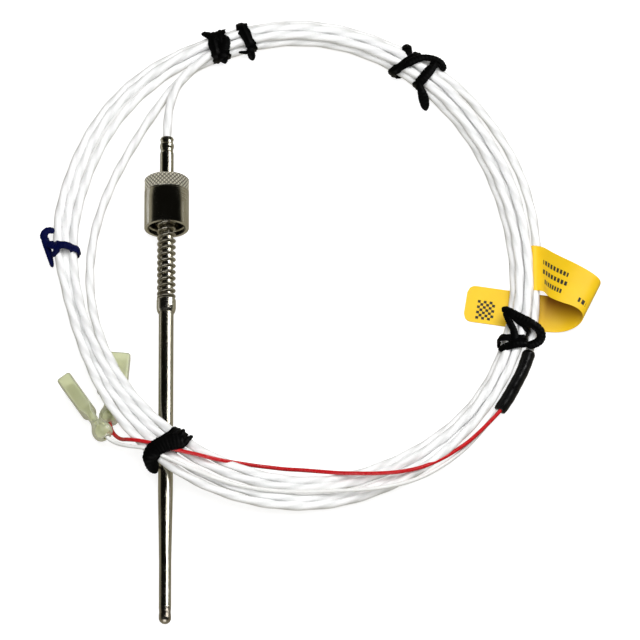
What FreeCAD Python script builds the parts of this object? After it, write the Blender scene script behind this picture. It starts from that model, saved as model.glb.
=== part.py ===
import FreeCAD, Part
import math
import os
import Sketcher

# A spring-loaded bayonet thermocouple with a coiled lead and two push-on terminals.
# Row frame: the probe lies along Y with its sensing tip towards -Y, the lead leaves towards +Y,
# and the table that everything lies on is z = 0. Lengths are millimetres.

doc = FreeCAD.newDocument("thermocouple")
V = FreeCAD.Vector
ALONG_Y = FreeCAD.Rotation(V(1, 0, 0), -90)

# ---------------------------------------------------------------- driving dimensions

SIZES = [
    # along the probe, measured from the tip
    ("tip_face", "0"), ("tip_round", "0.5"), ("tip_shoulder", "1.3"),
    ("weld_start", "2.8"), ("weld_low", "3.3"), ("weld_high", "4.3"), ("sheath_start", "5.0"),
    ("plug_end", "6.2"), ("junction_nose", "6.4"), ("junction_cheek", "6.9"), ("wire_start", "8.5"),
    ("swage_start", "21.0"), ("swage_end", "45.5"),
    ("collar_start", "107.4"), ("collar_rise", "108.1"), ("collar_full", "109.1"),
    ("tube_joint", "109.75"), ("collar_edge", "111.7"), ("collar_end", "112.0"),
    ("cap_mouth", "136.85"), ("cap_lip_start", "138.5"), ("cap_lip_end", "140.6"),
    ("knurl_start", "150.1"), ("cap_corner", "153.35"), ("cap_top", "154.05"),
    ("ring_start", "154.15"), ("ring_end", "155.05"),
    ("seal_start", "150.0"), ("seal_end", "163.0"),
    ("crimp_1_in", "163.3"), ("crimp_1_low", "163.8"), ("crimp_1_high", "164.8"),
    ("bulge_start", "165.4"), ("bulge_end", "166.3"), ("crimp_2_low", "166.7"),
    ("crimp_2_high", "167.6"), ("mouth_edge", "168.3"), ("probe_length", "168.7"),
    # radii of the probe
    ("centre_line", "0"), ("tip_radius", "1.95"), ("weld_radius", "1.86"), ("nose_radius", "1.0"),
    ("cheek_radius", "1.6"), ("sheath_radius", "2.38"), ("bore_radius", "1.55"),
    ("spigot_radius", "1.53"), ("back_radius", "2.175"), ("crimp_radius", "1.98"),
    ("bulge_radius", "2.24"), ("collar_radius", "3.1"), ("collar_nose", "2.6"),
    ("collar_mid", "2.95"), ("collar_front_bore", "2.39"), ("collar_back_bore", "2.185"),
    ("ring_radius", "2.75"), ("junction_radius", "1.05"), ("junction_small", "0.6"),
    # bayonet cap
    ("cap_radius", "7.15"), ("cap_bore", "6.1"), ("lip_bore", "5.6"), ("cap_edge", "0.2"),
    ("roof_thickness", "1.2"), ("cap_hole", "2.325"), ("cap_top_radius", "6.45"),
    ("knurl_groove", "6.98"), ("notch_width", "3.8"), ("notch_reach", "6.05"),
    # spring and its washer
    ("spring_radius", "3.015"), ("spring_wire", "0.8"), ("spring_pitch", "2.18"),
    ("washer_thickness", "0.75"), ("washer_radius", "5.6"), ("washer_bore", "2.34"),
    ("running_gap", "0.05"),
    # element
    ("bead_radius", "1.5"), ("bead_length", "27.6"), ("bead_step", "27.9"), ("bead_first", "9.2"),
    ("wire_radius", "0.3"), ("wire_offset", "0.7"), ("wire_bore", "0.34"),
    # leads, sleeve, label and ties
    ("lead_diameter", "2.8"), ("core_diameter", "1.3"), ("sleeve_diameter", "4.2"),
    ("label_thickness", "0.4"), ("tie_thickness", "0.6"), ("tie_width", "3.2"),
    # push-on terminals
    ("terminal_length", "24.4"), ("box_length", "13.4"), ("box_width", "9.8"), ("box_height", "5.0"),
    ("neck_length", "3.6"), ("neck_width", "5.6"), ("neck_height", "3.2"),
    ("barrel_radius", "2.55"), ("bell_radius", "3.3"), ("bell_length", "2.6"),
    ("box_wall", "0.9"), ("barrel_bore", "1.85"),
    ("tab_width", "7.4"), ("tab_height", "2.6"), ("tab_length", "8.6"), ("tab_sheet", "0.4"),
]
FORMULAS = [
    ("cap_mouth_edge", "=cap_mouth + cap_edge"), ("cap_mouth_radius", "=cap_radius - cap_edge"),
    ("cap_roof", "=cap_top - roof_thickness"), ("lip_ramp_start", "=cap_lip_start - cap_edge"),
    ("lip_ramp_end", "=cap_lip_end + cap_edge"), ("knurl_edge", "=knurl_start + cap_edge"),
    ("knurl_line", "=knurl_start - cap_edge"), ("knurl_front", "=knurl_line - cap_edge"),
    ("washer_back", "=cap_roof - running_gap"), ("washer_front", "=washer_back - washer_thickness"),
    ("spring_back", "=washer_front - running_gap"), ("spring_front", "=collar_end + running_gap"),
    ("tube_start", "=tube_joint + running_gap"), ("sheath_end", "=tube_joint - running_gap"),
    ("wire_length", "=seal_end - wire_start"), ("seal_length", "=seal_end - seal_start"),
]

dims = doc.addObject("Spreadsheet::Sheet", "dims")
for row, (alias, text) in enumerate(SIZES + FORMULAS, start=1):
    dims.set("A%d" % row, alias)
    dims.set("B%d" % row, text)
    dims.setAlias("B%d" % row, alias)
doc.recompute()


def size(alias):
    return float(dims.get(alias))


TIP = V(0, -size("probe_length") / 2, size("cap_radius"))
parts = []


def keep(name, obj):
    """Give a finished sub-part its node name."""
    obj.Label = name
    parts.append(obj)
    return obj


def origin_plane(body, role):
    return [feature for feature in body.Origin.OriginFeatures if feature.Role == role][0]


def hold(sketch, point, kind, axis, alias):
    """Tie one coordinate of a corner to a cell of the sheet, or to the axis when it is zero."""
    if size(alias) == 0:
        sketch.addConstraint(Sketcher.Constraint("PointOnObject", point, 1, axis))
        return
    number = sketch.addConstraint(Sketcher.Constraint(kind, -1, 1, point, 1, size(alias)))
    sketch.setExpression("Constraints[%d]" % number, "dims.%s" % alias)


def turned(name, outline):
    """A body turned about the probe's axis; the outline's corners are (station, radius) cells."""
    body = doc.addObject("PartDesign::Body", name)
    sketch = body.newObject("Sketcher::SketchObject", name + "_outline")
    sketch.AttachmentSupport = (origin_plane(body, "YZ_Plane"), [""])
    sketch.MapMode = "FlatFace"
    corners = [V(size(station), size(radius), 0) for station, radius in outline]
    for i, corner in enumerate(corners):
        sketch.addGeometry(Part.LineSegment(corner, corners[(i + 1) % len(corners)]), False)
    for i in range(len(corners)):
        sketch.addConstraint(Sketcher.Constraint("Coincident", i, 2, (i + 1) % len(corners), 1))
    for i, (station, radius) in enumerate(outline):
        hold(sketch, i, "DistanceX", -2, station)
        hold(sketch, i, "DistanceY", -1, radius)
    solid = body.newObject("PartDesign::Revolution", name + "_turned")
    solid.Profile = sketch
    solid.ReferenceAxis = (sketch, ["H_Axis"])
    solid.Angle = 360
    sketch.Visibility = False
    body.Placement = FreeCAD.Placement(TIP, FreeCAD.Rotation())
    return keep(name, body)


# ---------------------------------------------------------------- probe

turned("tip_plug", [
    ("tip_face", "centre_line"), ("tip_face", "nose_radius"), ("tip_round", "cheek_radius"),
    ("tip_shoulder", "tip_radius"), ("weld_start", "tip_radius"), ("weld_low", "weld_radius"),
    ("weld_high", "weld_radius"), ("sheath_start", "tip_radius"), ("sheath_start", "spigot_radius"),
    ("plug_end", "spigot_radius"), ("plug_end", "centre_line")])
turned("front_sheath", [
    ("sheath_start", "bore_radius"), ("sheath_start", "tip_radius"), ("swage_start", "tip_radius"),
    ("swage_end", "sheath_radius"), ("sheath_end", "sheath_radius"), ("sheath_end", "bore_radius")])
turned("spring_collar", [
    ("collar_start", "collar_front_bore"), ("collar_start", "collar_nose"),
    ("collar_rise", "collar_mid"), ("collar_full", "collar_radius"),
    ("collar_edge", "collar_radius"), ("collar_end", "collar_mid"),
    ("collar_end", "collar_back_bore"), ("tube_joint", "collar_back_bore"),
    ("tube_joint", "collar_front_bore")])
turned("back_tube", [
    ("tube_start", "bore_radius"), ("tube_start", "back_radius"), ("crimp_1_in", "back_radius"),
    ("crimp_1_low", "crimp_radius"), ("crimp_1_high", "crimp_radius"),
    ("bulge_start", "bulge_radius"), ("bulge_end", "bulge_radius"),
    ("crimp_2_low", "crimp_radius"), ("crimp_2_high", "crimp_radius"),
    ("mouth_edge", "back_radius"), ("probe_length", "crimp_radius"),
    ("probe_length", "bore_radius")])
turned("retaining_ring", [
    ("ring_start", "collar_back_bore"), ("ring_start", "ring_radius"),
    ("ring_end", "ring_radius"), ("ring_end", "collar_back_bore")])
turned("spring_washer", [
    ("washer_front", "washer_bore"), ("washer_front", "washer_radius"),
    ("washer_back", "washer_radius"), ("washer_back", "washer_bore")])
turned("junction_bead", [
    ("junction_nose", "centre_line"), ("junction_nose", "junction_small"),
    ("junction_cheek", "junction_radius"), ("wire_start", "junction_radius"),
    ("wire_start", "centre_line")])

cap = turned("bayonet_cap", [
    ("cap_mouth", "cap_bore"), ("cap_mouth", "cap_mouth_radius"), ("cap_mouth_edge", "cap_radius"),
    ("knurl_front", "cap_radius"), ("knurl_line", "knurl_groove"), ("knurl_start", "knurl_groove"),
    ("knurl_edge", "cap_radius"), ("cap_corner", "cap_radius"), ("cap_top", "cap_top_radius"),
    ("cap_top", "cap_hole"), ("cap_roof", "cap_hole"), ("cap_roof", "cap_bore"),
    ("lip_ramp_end", "cap_bore"), ("cap_lip_end", "lip_bore"), ("cap_lip_start", "lip_bore"),
    ("lip_ramp_start", "cap_bore")])


def cut_entry_notches(body):
    """Cut the two entries for the adapter's pins through the lip inside the cap's mouth."""
    sketch = body.newObject("Sketcher::SketchObject", "notch_outline")
    sketch.AttachmentSupport = (origin_plane(body, "XZ_Plane"), [""])
    sketch.MapMode = "FlatFace"
    sketch.setExpression("AttachmentOffset.Base.z", "-(dims.cap_lip_start + dims.cap_lip_end) / 2")
    half, reach = size("notch_width") / 2, size("notch_reach")
    corners = [V(-reach, -half, 0), V(reach, -half, 0), V(reach, half, 0), V(-reach, half, 0)]
    for i, corner in enumerate(corners):
        sketch.addGeometry(Part.LineSegment(corner, corners[(i + 1) % 4]), False)
        sketch.addConstraint(Sketcher.Constraint("Vertical" if i % 2 else "Horizontal", i))
    for i in range(4):
        sketch.addConstraint(Sketcher.Constraint("Coincident", i, 2, (i + 1) % 4, 1))
    sketch.addConstraint(Sketcher.Constraint("Symmetric", 0, 1, 2, 1, -1, 1))
    wide = sketch.addConstraint(Sketcher.Constraint("DistanceX", 0, 1, 0, 2, 2 * reach))
    sketch.setExpression("Constraints[%d]" % wide, "2 * dims.notch_reach")
    tall = sketch.addConstraint(Sketcher.Constraint("DistanceY", 1, 1, 1, 2, 2 * half))
    sketch.setExpression("Constraints[%d]" % tall, "dims.notch_width")
    pocket = body.newObject("PartDesign::Pocket", "pin_entries")
    pocket.Profile = sketch
    pocket.SideType = "Symmetric"
    pocket.setExpression("Length", "2 * (dims.cap_lip_end - dims.cap_lip_start)")
    sketch.Visibility = False


cut_entry_notches(cap)


def rod(name, start, length, radius, offset):
    """A cylinder along the probe, at a sideways offset from its axis; all four are expressions."""
    cylinder = doc.addObject("Part::Cylinder", name)
    cylinder.Placement = FreeCAD.Placement(TIP, ALONG_Y)
    cylinder.setExpression("Radius", radius)
    cylinder.setExpression("Height", length)
    cylinder.setExpression("Placement.Base.x", offset)
    cylinder.setExpression("Placement.Base.y", "%s - dims.probe_length / 2" % start)
    return cylinder


def bored_rod(name, start, length, radius):
    """A rod with the two bores that the element's wires run in."""
    blank = rod(name + "_blank", start, length, "dims." + radius, "0")
    bores = doc.addObject("Part::MultiFuse", name + "_bores")
    bores.Shapes = [rod("%s_bore_%s" % (name, side), start, length, "dims.wire_bore",
                        "%s * dims.wire_offset" % sign)
                    for side, sign in (("left", "-1"), ("right", "1"))]
    cut = doc.addObject("Part::Cut", name)
    cut.Base = blank
    cut.Tool = bores
    return keep(name, cut)


for number in range(5):
    bored_rod("insulator_%d" % (number + 1), "(dims.bead_first + %d * dims.bead_step)" % number,
              "dims.bead_length", "bead_radius")
bored_rod("potting_seal", "dims.seal_start", "dims.seal_length", "spigot_radius")
for name, sign in (("wire_iron", "-1"), ("wire_constantan", "1")):
    keep(name, rod(name, "dims.wire_start", "dims.wire_length", "dims.wire_radius",
                   "%s * dims.wire_offset" % sign))


def plain(name, shape):
    """A sub-part whose shape is worked out here from the sheet's values."""
    feature = doc.addObject("Part::Feature", name)
    feature.Shape = shape
    return keep(name, feature)


def spring_shape():
    """Round wire wound at one pitch, with a closed ring at each end for its dead turns."""
    wire = size("spring_wire") / 2
    mean = size("spring_radius") - wire
    front = size("spring_front") + wire
    back = size("spring_back") - wire
    helix = Part.makeHelix(size("spring_pitch"), back - front, mean)
    section = Part.Wire(Part.Circle(V(mean, 0, 0), V(0, 1, 0), wire).toShape())
    coil = Part.Wire(helix).makePipeShell([section], True, True)
    rings = [Part.makeTorus(mean, wire, V(0, 0, height)) for height in (0, back - front)]
    shape = coil.fuse(rings).removeSplitter()
    shape.Placement = FreeCAD.Placement(TIP + V(0, front, 0), ALONG_Y)
    return shape


plain("compression_spring", spring_shape())

# ---------------------------------------------------------------- coiled lead

COIL_CENTRE = V(41.4, 41.0, 0)
COIL_STRETCH = 1.095
LANE_SHIFT = (288, 314)
# angle clockwise from +Y, inner radius, spacing of the turns, height of their underside
COIL_STATIONS = [
    (0, 71.9, 1.42, 0.75), (20, 70.9, 1.42, 0.75), (35, 69.2, 1.7, 0.75), (50, 68.1, 1.45, 0.75),
    (62, 67.1, 1.72, 0.75), (75, 67.2, 1.59, 0.75), (90, 68.1, 1.42, 0.75), (100, 69.1, 1.56, 0.75),
    (120, 70.2, 1.42, 0.75), (132, 70.1, 1.52, 0.75), (141, 68.8, 2.05, 0.75),
    (150, 67.7, 2.43, 0.75), (162, 67.2, 2.84, 0.9), (175, 67.0, 2.96, 1.1), (192, 66.9, 3.28, 5.0),
    (207, 67.2, 3.45, 10.0), (222, 66.8, 3.05, 10.0), (231, 66.1, 2.66, 8.0),
    (241, 65.6, 2.05, 6.4), (252, 66.1, 1.67, 3.4), (262, 67.1, 1.6, 0.9), (285, 68.0, 3.1, 0.75),
    (300, 68.3, 2.8, 0.75), (312, 68.6, 2.58, 0.75), (322, 69.2, 2.35, 0.75),
    (332, 70.3, 1.75, 0.75), (341, 71.1, 1.42, 0.75)]
# the innermost turn hangs away from the others on one side, and the outermost on another
LOOSE_FROM, LOOSE_TO, LOOSE_BY = 243, 335, 4.9
APART_FROM, APART_TO, APART_BY = 33, 98, 3.3


def smooth(low, high, value):
    """Zero below low, one above high, and an even step between them."""
    share = min(1.0, max(0.0, (value - low) / float(high - low)))
    return share * share * (3 - 2 * share)


def coil_at(angle):
    """Inner radius, spacing and underside of the coil at an angle, smooth between stations."""
    angle = angle % 360
    ends = COIL_STATIONS + [(360,) + COIL_STATIONS[0][1:]]
    for before, after in zip(ends, ends[1:]):
        if before[0] <= angle <= after[0]:
            share = smooth(before[0], after[0], angle)
            return [a + (b - a) * share for a, b in zip(before[1:], after[1:])]


def loose_inward(angle):
    """How far the innermost turn stands inside its place beside the others."""
    angle = angle % 360
    if not LOOSE_FROM < angle < LOOSE_TO:
        return 0.0
    share = ((angle - LOOSE_FROM) / float(LOOSE_TO - LOOSE_FROM)) ** 1.5
    return LOOSE_BY * math.sin(math.pi * share) ** 0.7


def apart_outward(angle):
    """How far the outermost turn stands outside its place beside the others."""
    angle = angle % 360
    if not APART_FROM < angle < APART_TO:
        return 0.0
    share = (angle - APART_FROM) / float(APART_TO - APART_FROM)
    return APART_BY * math.sin(math.pi * share) ** 0.6


def rise_of_odd_turns(spacing):
    """Turns closer together than their diameter ride up, every second one on its neighbours."""
    thick = size("lead_diameter")
    return math.sqrt(max(0.0, thick ** 2 - spacing ** 2))


def on_coil(angle, inner, outward, height):
    """A point outward of the coil's inner outline."""
    turn = math.radians(angle)
    return COIL_CENTRE + V((inner + outward) * math.sin(turn),
                           (inner * COIL_STRETCH + outward) * math.cos(turn), height)


def coil_ring(angle):
    """The coil's outer shape in section: a box with cut corners, all the turns wide."""
    inner, spacing, underside = coil_at(angle)
    thick = size("lead_diameter")
    shifted = angle % 360
    # the lead's first and last turns overlap, so one side of the coil holds one turn more
    extra = 1 - smooth(100, 110, shifted) + smooth(LANE_SHIFT[0], LANE_SHIFT[1], shifted)
    wide = thick + spacing * (3 + extra) + apart_outward(angle)
    tall = thick + rise_of_odd_turns(spacing)
    start = -loose_inward(angle)
    cut = thick * 0.3
    outline = [(start + cut, 0), (wide - cut, 0), (wide, cut), (wide, thick * 0.7),
               (wide - cut, tall), (start + cut * 2, tall), (start, thick * 0.7), (start, cut)]
    return [on_coil(angle, inner, outward, underside + height) for outward, height in outline]


def skin(rings, closed):
    """A solid with flat facets between rings of points, joined round or capped at both ends."""
    faces = []
    count = len(rings[0])
    last = len(rings) if closed else len(rings) - 1
    for i in range(last):
        here, there = rings[i], rings[(i + 1) % len(rings)]
        for j in range(count):
            k = (j + 1) % count
            for corners in ((here[j], here[k], there[k]), (here[j], there[k], there[j])):
                faces.append(Part.Face(Part.makePolygon(list(corners) + [corners[0]])))
    if not closed:
        for ring in (rings[0], rings[-1]):
            for k in range(1, count - 1):
                corners = (ring[0], ring[k], ring[k + 1])
                faces.append(Part.Face(Part.makePolygon(list(corners) + [corners[0]])))
    solid = Part.makeSolid(Part.makeShell(faces))
    if solid.Volume < 0:
        solid.reverse()
    return solid


plain("lead_coil", skin([coil_ring(angle) for angle in range(0, 360, 6)], True))


# ---------------------------------------------------------------- leads that lie free

def rounded_path(name, points):
    """Straight runs joined by tangent arcs as large as the runs beside them allow."""
    edges = []
    radii = []
    at = points[0]
    for before, corner, after in zip(points, points[1:], points[2:]):
        back = (before - corner).normalize()
        ahead = (after - corner).normalize()
        turn = math.pi - back.getAngle(ahead)
        reach = 0.45 * min((before - corner).Length, (after - corner).Length)
        radius = reach / math.tan(turn / 2)
        start = corner + back * reach
        end = corner + ahead * reach
        middle = corner + (back + ahead).normalize() * (radius / math.cos(turn / 2) - radius)
        edges.append(Part.LineSegment(at, start).toShape())
        edges.append(Part.Arc(start, middle, end).toShape())
        radii.append(round(radius, 1))
        at = end
    edges.append(Part.LineSegment(at, points[-1]).toShape())
    print(name, "radii", radii)
    return Part.Wire(edges)


def cord(name, points, diameter):
    """A plain tube along a route."""
    path = rounded_path(name, points)
    towards = points[1] - points[0]
    section = Part.Wire(Part.Circle(points[0], towards, diameter / 2).toShape())
    tube = path.makePipeShell([section], True, True)
    whole = path.Length * math.pi * diameter ** 2 / 4
    print(name, "length %.1f, volume %.4f of section times length" % (path.Length, tube.Volume / whole))
    return plain(name, tube)


LEAD_ROUTE = [V(0, 78.65, 7.15), V(0.0, 85.5, 7.15), V(0.3, 92.5, 6.7), V(1.4, 99.5, 5.4),
              V(4.0, 106.2, 3.8), V(8.9, 111.6, 2.6), V(15.2, 114.9, 2.2)]
SLEEVE_ROUTE = [V(116, 11.9, 2.1), V(115, 8.4, 2.1), V(113, 3.4, 2.1), V(110.2, -2.4, 2.1),
                V(106.4, -8.7, 2.1)]
RED_ROUTE = [V(106.7, -8.9, 2.75), V(99.3, -17.5, 2.5), V(91.3, -23.9, 3), V(83.9, -28.7, 4.6),
             V(77.4, -31.4, 6.2), V(69.3, -32.5, 6.5), V(60.3, -32.4, 6.3), V(52.9, -31.4, 4.6),
             V(45.9, -29.8, 2.6), V(38, -29.1, 2), V(30.2, -28.8, 3.6), V(23.5, -29.5, 7.6),
             V(16.6, -30.1, 12), V(10.3, -29, 13.6), V(3.6, -27.4, 13.6), V(-5.1, -24.7, 13.6),
             V(-11.5, -22.9, 11.8), V(-14.8, -20.6, 6), V(-17.8, -16.2, 4.1), V(-18, -11.8, 3.1)]
WHITE_ROUTE = [V(105.8, -8.4, 1.45), V(99.4, -17.3, 0.85), V(92.3, -24.5, 1.2), V(84.1, -31.1, 3.2),
               V(77.1, -35.4, 6), V(67.1, -37.8, 6.6), V(56.5, -38.3, 6.3), V(46.4, -38.5, 5.7),
               V(36.4, -38.9, 6.9), V(27.1, -38.6, 8.9), V(18, -37.2, 11.4), V(9.8, -34.6, 13.6),
               V(1.6, -30.7, 13.6), V(-5.9, -26.6, 13.5), V(-12, -25, 11.2), V(-15.6, -23.2, 9),
               V(-18.8, -20.8, 8.25), V(-21, -17.3, 7.85)]

cord("lead_stretch", LEAD_ROUTE, size("lead_diameter"))
cord("shrink_sleeve", SLEEVE_ROUTE, size("sleeve_diameter"))
cord("lead_red", RED_ROUTE, size("core_diameter"))
cord("lead_white", WHITE_ROUTE, size("core_diameter"))


# ---------------------------------------------------------------- push-on terminals

def block(name, length, width, height, start):
    """A box centred on the terminal's axis; its four sizes are expressions."""
    box = doc.addObject("Part::Box", name)
    box.setExpression("Length", width)
    box.setExpression("Width", length)
    box.setExpression("Height", height)
    box.setExpression("Placement.Base.x", "-(%s) / 2" % width)
    box.setExpression("Placement.Base.y", start)
    box.setExpression("Placement.Base.z", "-(%s) / 2" % height)
    return box


def round_bar(name, length, radius, start):
    """A cylinder on the terminal's axis, which runs along Y from the wire end."""
    bar = doc.addObject("Part::Cylinder", name)
    bar.Placement = FreeCAD.Placement(V(0, 0, 0), ALONG_Y)
    bar.setExpression("Height", length)
    bar.setExpression("Radius", radius)
    bar.setExpression("Placement.Base.y", start)
    return bar


def joined(name, kind, shapes):
    result = doc.addObject(kind, name)
    if kind == "Part::Cut":
        result.Base, result.Tool = shapes
    else:
        result.Shapes = shapes
    return result


def neck_wedge(name):
    """The taper from the round barrel to the flat box."""
    wedge = doc.addObject("Part::Wedge", name)
    for low, high, full, narrow in (("Xmin", "Xmax", "box_width", "neck_width"),
                                    ("Zmin", "Zmax", "box_height", "neck_height")):
        wedge.setExpression(low, "-dims.%s / 2" % narrow)
        wedge.setExpression(high, "dims.%s / 2" % narrow)
        wedge.setExpression(low.replace("min", "2min"), "-dims.%s / 2" % full)
        wedge.setExpression(high.replace("max", "2max"), "dims.%s / 2" % full)
    wedge.Ymin = 0
    wedge.setExpression("Ymax", "dims.neck_length")
    wedge.setExpression("Placement.Base.y", "dims.terminal_length - dims.box_length - dims.neck_length")
    return wedge


def terminal(number, place):
    """A nylon housing, open at both ends, round a folded brass receptacle."""
    tag = "_%d" % number
    bell = doc.addObject("Part::Cone", "bell" + tag)
    bell.Placement = FreeCAD.Placement(V(0, 0, 0), ALONG_Y)
    bell.setExpression("Radius1", "dims.bell_radius")
    bell.setExpression("Radius2", "dims.barrel_radius")
    bell.setExpression("Height", "dims.bell_length")
    barrel = round_bar("barrel" + tag, "dims.terminal_length - dims.box_length",
                       "dims.barrel_radius", "0")
    box = block("box" + tag, "dims.box_length", "dims.box_width", "dims.box_height",
                "dims.terminal_length - dims.box_length")
    solid = joined("solid" + tag, "Part::MultiFuse", [bell, barrel, neck_wedge("neck" + tag), box])
    bore = round_bar("bore" + tag, "dims.terminal_length - dims.box_length + dims.box_wall",
                     "dims.barrel_bore", "-1")
    pocket = block("pocket" + tag, "dims.box_length", "dims.box_width - 2 * dims.box_wall",
                   "dims.box_height - 2 * dims.box_wall",
                   "dims.terminal_length - dims.box_length + dims.box_wall / 2")
    hollow = joined("hollow" + tag, "Part::MultiFuse", [bore, pocket])
    housing = joined("housing" + tag, "Part::Cut", [solid, hollow])
    housing.Placement = place
    keep("terminal_housing" + tag, housing)

    sheet = block("sheet" + tag, "dims.tab_length", "dims.tab_width", "dims.tab_height",
                  "dims.terminal_length - dims.box_length + 2 * dims.box_wall")
    slot = block("slot" + tag, "dims.tab_length + 2", "dims.tab_width - 2 * dims.tab_sheet",
                 "dims.tab_height - 2 * dims.tab_sheet",
                 "dims.terminal_length - dims.box_length + 2 * dims.box_wall - 1")
    seam = block("seam" + tag, "dims.tab_length + 2", "1.2", "dims.tab_height",
                 "dims.terminal_length - dims.box_length + 2 * dims.box_wall - 1")
    seam.setExpression("Placement.Base.z", "0")
    tools = joined("tab_space" + tag, "Part::MultiFuse", [slot, seam])
    receptacle = joined("receptacle_cut" + tag, "Part::Cut", [sheet, tools])
    receptacle.Placement = place
    keep("receptacle" + tag, receptacle)

    crimp = round_bar("crimp" + tag, "5.5", "dims.barrel_bore - dims.running_gap", "4.0")
    inside = round_bar("crimp_bore" + tag, "7.5", "dims.core_diameter / 2 + 0.5", "3.0")
    sleeve = joined("crimp_sleeve" + tag, "Part::Cut", [crimp, inside])
    sleeve.Placement = place
    keep("crimp_barrel" + tag, sleeve)


def aimed(mouth, tip, roll):
    """A placement at the wire end, pointing at the tab end, rolled about its own axis."""
    point = FreeCAD.Rotation(V(0, 1, 0), tip - mouth)
    return FreeCAD.Placement(mouth, point * FreeCAD.Rotation(V(0, 1, 0), roll))


terminal(1, aimed(V(-18.8, -20.8, 8.3), V(-31.8, -0.2, 6.0), 76))
terminal(2, aimed(V(-18.2, -13.9, 3.3), V(-16.2, 10.4, 2.6), 0))


# ---------------------------------------------------------------- label and ties

def ribbon(name, far_edge, near_edge, thickness):
    """A thin strip between two edges, thickened upwards from its underside."""
    rings = []
    count = len(far_edge)
    for i in range(count):
        ahead = far_edge[min(i + 1, count - 1)] - far_edge[max(i - 1, 0)]
        across = near_edge[i] - far_edge[i]
        lift = across.cross(ahead).normalize() * thickness
        rings.append([far_edge[i], near_edge[i], near_edge[i] + lift, far_edge[i] + lift])
    return plain(name, skin(rings, False))


# the strip lies on the table under the coil, curls back over itself and ends on the outer turn
LABEL_FAR = [V(96.6, 36.0, 0.1), V(108.0, 34.2, 0.1), V(120.2, 32.3, 0.1), V(128.0, 31.3, 0.5),
             V(134.0, 31.6, 2.2), V(138.2, 32.5, 5.0), V(139.2, 33.8, 8.2), V(136.2, 35.8, 10.2),
             V(130.6, 39.3, 10.0), V(124.4, 43.7, 7.2), V(119.6, 47.9, 4.9), V(117.0, 48.4, 4.6)]
LABEL_NEAR = [V(94.7, 23.5, 0.1), V(106.1, 21.7, 0.1), V(118.3, 19.8, 0.1), V(125.6, 19.0, 0.5),
              V(130.0, 19.6, 2.2), V(132.9, 21.1, 4.4), V(133.4, 22.8, 6.9), V(130.8, 24.8, 8.4),
              V(125.8, 26.4, 8.5), V(121.6, 29.2, 6.9), V(119.2, 32.4, 5.0), V(117.0, 33.2, 4.6)]
ribbon("marker_label", LABEL_FAR, LABEL_NEAR, size("label_thickness"))


def rounded_box(wide, tall, deep, corner):
    """A block with its four long edges rounded, centred across and along its depth."""
    box = Part.makeBox(wide, deep, tall, V(-wide / 2, -deep / 2, 0))
    long_edges = [edge for edge in box.Edges if abs(edge.tangentAt(0).y) > 0.9]
    return box.makeFillet(corner, long_edges)


def tie(name, angle, bands, low, high, start, wide, tail):
    """A twist tie: one or two bands round the coil and the twisted ends at one side.

    bands are the bands' offsets along the coil; start and wide say where the opening lies,
    outward of the coil's inner outline; tail is (outward, up, along) for the twisted ends."""
    thick = size("tie_thickness")
    inner = coil_at(angle)[0]
    pieces = []
    for offset in bands:
        outer = rounded_box(wide + 2 * thick, high - low + 2 * thick, size("tie_width"), 1.6)
        opening = rounded_box(wide, high - low, size("tie_width") + 2, 1.0)
        opening.translate(V(0, 0, thick))
        band = outer.cut(opening)
        band.translate(V(start + wide / 2, offset, low - thick))
        pieces.append(band)
    foot = V(start + wide + thick / 2, bands[0], (low + high) / 2)
    twist = Part.makeCylinder(1.1, tail.Length, foot, tail)
    pieces.append(twist)
    if len(bands) > 1:
        pieces.append(Part.makeBox(thick, abs(bands[1] - bands[0]), 2.0,
                                   V(start + wide, min(bands), (low + high) / 2)))
    shape = pieces[0].multiFuse(pieces[1:]).removeSplitter()
    turn = FreeCAD.Rotation(V(0, 0, 1), 90 - angle)
    shape.Placement = FreeCAD.Placement(on_coil(angle, inner, 0, 0), turn)
    return plain(name, shape)


def tie_round_coil(name, angle, bands, tail, spare=0.45):
    """A tie that just clears the coil's own section, which changes a little along its bands."""
    widths = []
    for nearby in (angle - 3, angle, angle + 3):
        inner_edge = on_coil(nearby, coil_at(nearby)[0], 0, 0)
        widths.append(coil_ring(nearby)[2].sub(inner_edge).Length)
    inner, spacing, underside = coil_at(angle)
    tall = size("lead_diameter") + rise_of_odd_turns(spacing)
    start = -loose_inward(angle) - spare
    tie(name, angle, bands, underside - 0.1, underside + tall + spare, start,
        max(widths) + 2 * spare - start, tail)


tie_round_coil("twist_tie_1", 340, [-1.8, 1.8], V(4.5, -2.5, 1.2), 0.8)
tie_round_coil("twist_tie_2", 348, [0.0], V(2.5, 0.5, 1.0))
tie_round_coil("twist_tie_3", 30, [-3.4, 3.6], V(4.0, 1.5, 1.0))
tie_round_coil("twist_tie_4", 107, [-1.7, 1.7], V(1.5, 3.5, 3.2))
tie_round_coil("twist_tie_5", 275, [0.0], V(5.5, 2.5, 1.5))
tie("twist_tie_6", 214, [0.0], 4.3, 14.8, -0.9, 15.4, V(3.0, 2.0, 2.0))

# ---------------------------------------------------------------- check and write

doc.recompute()
for obj in parts:
    if "Invalid" in obj.State or "Error" in obj.State:
        raise ValueError("%s did not recompute: %s" % (obj.Label, obj.State))
    if obj.Shape.isNull() or not obj.Shape.isValid():
        raise ValueError("%s has no valid shape" % obj.Label)
    if len(obj.Shape.Solids) != 1:
        raise ValueError("%s holds %d solids" % (obj.Label, len(obj.Shape.Solids)))

os.makedirs("parts", exist_ok=True)
for obj in parts:
    obj.Shape.exportStep("parts/%s.step" % obj.Label)
print("wrote", len(parts), "sub-parts")
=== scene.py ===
import bpy
import math
import random
import numpy as np
from mathutils import Matrix, Vector


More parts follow.
